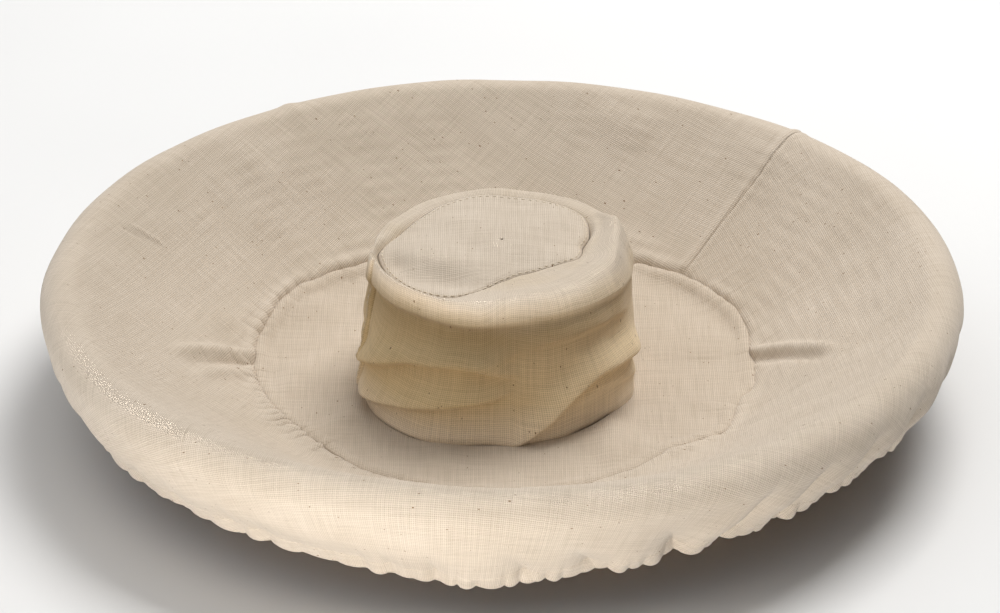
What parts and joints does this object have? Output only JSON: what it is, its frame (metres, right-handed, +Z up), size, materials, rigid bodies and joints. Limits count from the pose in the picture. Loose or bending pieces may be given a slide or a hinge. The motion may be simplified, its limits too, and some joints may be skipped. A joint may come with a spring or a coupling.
{
  "type": "crown banneton basket",
  "caption": "Round shallow proofing basket of woven wicker with a raised central core and a lift-off cloth liner with a gathered elastic skirt over the rim.",
  "frame": {"origin": "centre of the standing plane under the foot wale", "axes": "+Z up through the core, -Y towards the front, +X to the right seen from the front"},
  "size_m": [0.4, 0.4, 0.078],
  "materials": {
    "willow_weave": "peeled willow rods, satin",
    "willow_stake": "peeled willow, satin",
    "cane_tie": "split cane, satin",
    "linen": "natural unbleached plain weave",
    "sewing_thread": "spun cotton thread",
    "elastic": "covered elastic braid"
  },
  "bodies": {
    "basket": {"base_stick_across_1": "willow_stake", "base_stick_across_2": "willow_stake", "base_stick_across_3": "willow_stake", "base_stick_across_4": "willow_stake", "base_stick_along_1": "willow_stake", "base_stick_along_2": "willow_stake", "base_stick_along_3": "willow_stake", "base_stick_along_4": "willow_stake", "base_weave": "willow_weave", "core_border": "willow_weave", "core_lid_weave": "willow_weave", "core_stake_01": "willow_stake", "core_stake_02": "willow_stake", "core_stake_03": "willow_stake", "core_stake_04": "willow_stake", "core_stake_05": "willow_stake", "core_stake_06": "willow_stake", "core_stake_07": "willow_stake", "core_stake_08": "willow_stake", "core_stake_09": "willow_stake", "core_stake_10": "willow_stake", "core_stake_11": "willow_stake", "core_stake_12": "willow_stake", "core_ties": "cane_tie", "core_weave": "willow_weave", "foot_wale": "willow_weave", "rim_border": "willow_weave", "side_weave": "willow_weave", "stake_pair_01": "willow_stake", "stake_pair_02": "willow_stake", "stake_pair_03": "willow_stake", "stake_pair_04": "willow_stake", "stake_pair_05": "willow_stake", "stake_pair_06": "willow_stake", "stake_pair_07": "willow_stake", "stake_pair_08": "willow_stake", "stake_pair_09": "willow_stake", "stake_pair_10": "willow_stake", "stake_pair_11": "willow_stake", "stake_pair_12": "willow_stake", "stake_pair_13": "willow_stake", "stake_pair_14": "willow_stake", "stake_pair_15": "willow_stake", "stake_pair_16": "willow_stake", "top_wale": "willow_weave"},
    "liner": {"liner_wall": "linen", "side_seam_thread": "sewing_thread", "liner_skirt": "linen", "skirt_seam_thread": "sewing_thread", "hem_casing": "linen", "hem_elastic": "elastic", "liner_floor": "linen", "base_seam_thread": "sewing_thread", "foot_seam_thread": "sewing_thread", "core_sleeve": "linen", "sleeve_seam_thread": "sewing_thread", "core_cap": "linen", "cap_seam_thread": "sewing_thread"}
  },
  "joints": [
    {"name": "liner_lift", "type": "slide", "parent": "basket", "child": "liner", "axis": [0, 0, 1], "range_m": [0, 0.12], "deforming": ["liner_skirt", "skirt_seam_thread", "hem_casing", "hem_elastic"]}
  ]
}
